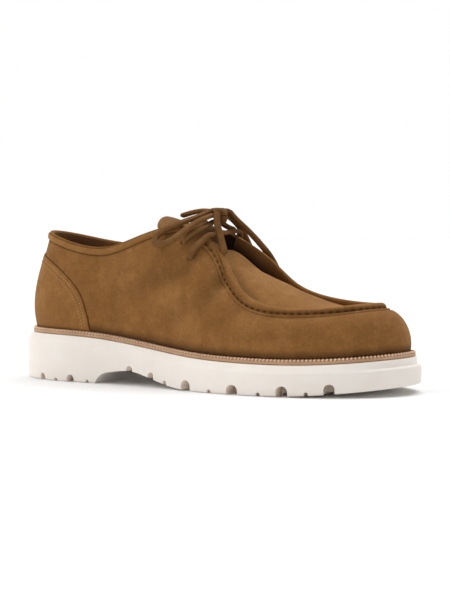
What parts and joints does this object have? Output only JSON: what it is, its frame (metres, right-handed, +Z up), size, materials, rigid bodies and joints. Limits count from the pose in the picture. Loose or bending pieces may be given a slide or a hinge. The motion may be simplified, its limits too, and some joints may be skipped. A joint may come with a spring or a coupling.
{
  "type": "derby shoe",
  "caption": "Right suede derby shoe with a raised apron seam, open lacing tied in a bow, a stitched welt and a thick lugged sole, worn on the foot.",
  "frame": {"origin": "bottom centre of the shoe's box without its lace cords, on the floor under the middle of the sole", "axes": "+X towards the toe, +Y towards the inner (medial) side, +Z up"},
  "size_m": [0.3, 0.1128, 0.1209],
  "materials": {
    "suede": "napped suede",
    "suede_dark": "napped suede",
    "foam_rubber": "matt",
    "welt_leather": "satin",
    "insole_leather": "smooth",
    "lace_leather": "matt"
  },
  "bodies": {
    "root": {"outsole": "foam_rubber", "welt": "welt_leather", "insole": "insole_leather", "upper": "suede", "heel_counter": "suede", "tongue": "suede_dark", "lace_bar_upper": "lace_leather", "lace_bar_lower": "lace_leather", "lace_knot": "lace_leather", "lace_loop_lateral": "lace_leather", "lace_loop_medial": "lace_leather", "lace_end_front": "lace_leather", "lace_end_back": "lace_leather"}
  },
  "joints": []
}
